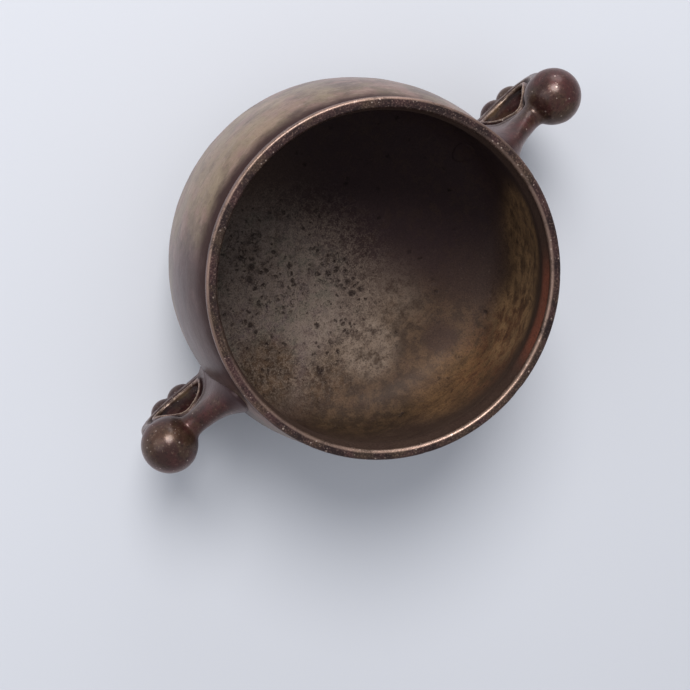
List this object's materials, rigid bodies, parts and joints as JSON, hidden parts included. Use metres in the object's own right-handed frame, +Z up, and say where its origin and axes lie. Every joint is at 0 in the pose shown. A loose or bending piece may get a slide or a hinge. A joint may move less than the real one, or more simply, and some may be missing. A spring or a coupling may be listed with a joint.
{
  "type": "incense burner",
  "caption": "Low round bronze incense burner with a thick lip, a short neck, a ring foot and sculpted loop handles with bulb heads.",
  "frame": {"origin": "centre of the foot ring's underside, on the surface that the bowl stands on", "axes": "+Z up through the mouth, +X towards the right handle, the handles lie along X"},
  "size_m": [0.1876, 0.123, 0.078],
  "materials": {
    "bowl_bronze": "dark brown patinated bronze, semi-gloss, worn at the lip",
    "foot_bronze": "dark brown patinated bronze, semi-gloss",
    "handle_bronze": "reddish brown patinated bronze, semi-gloss",
    "rivet_bronze": "dark bronze, dressed flush"
  },
  "bodies": {
    "root": {"bowl": "bowl_bronze", "foot_ring": "foot_bronze", "handle_left": "handle_bronze", "handle_right": "handle_bronze", "upper_rivet_left": "rivet_bronze", "upper_rivet_right": "rivet_bronze", "lower_rivet_left": "rivet_bronze", "lower_rivet_right": "rivet_bronze"}
  },
  "joints": []
}
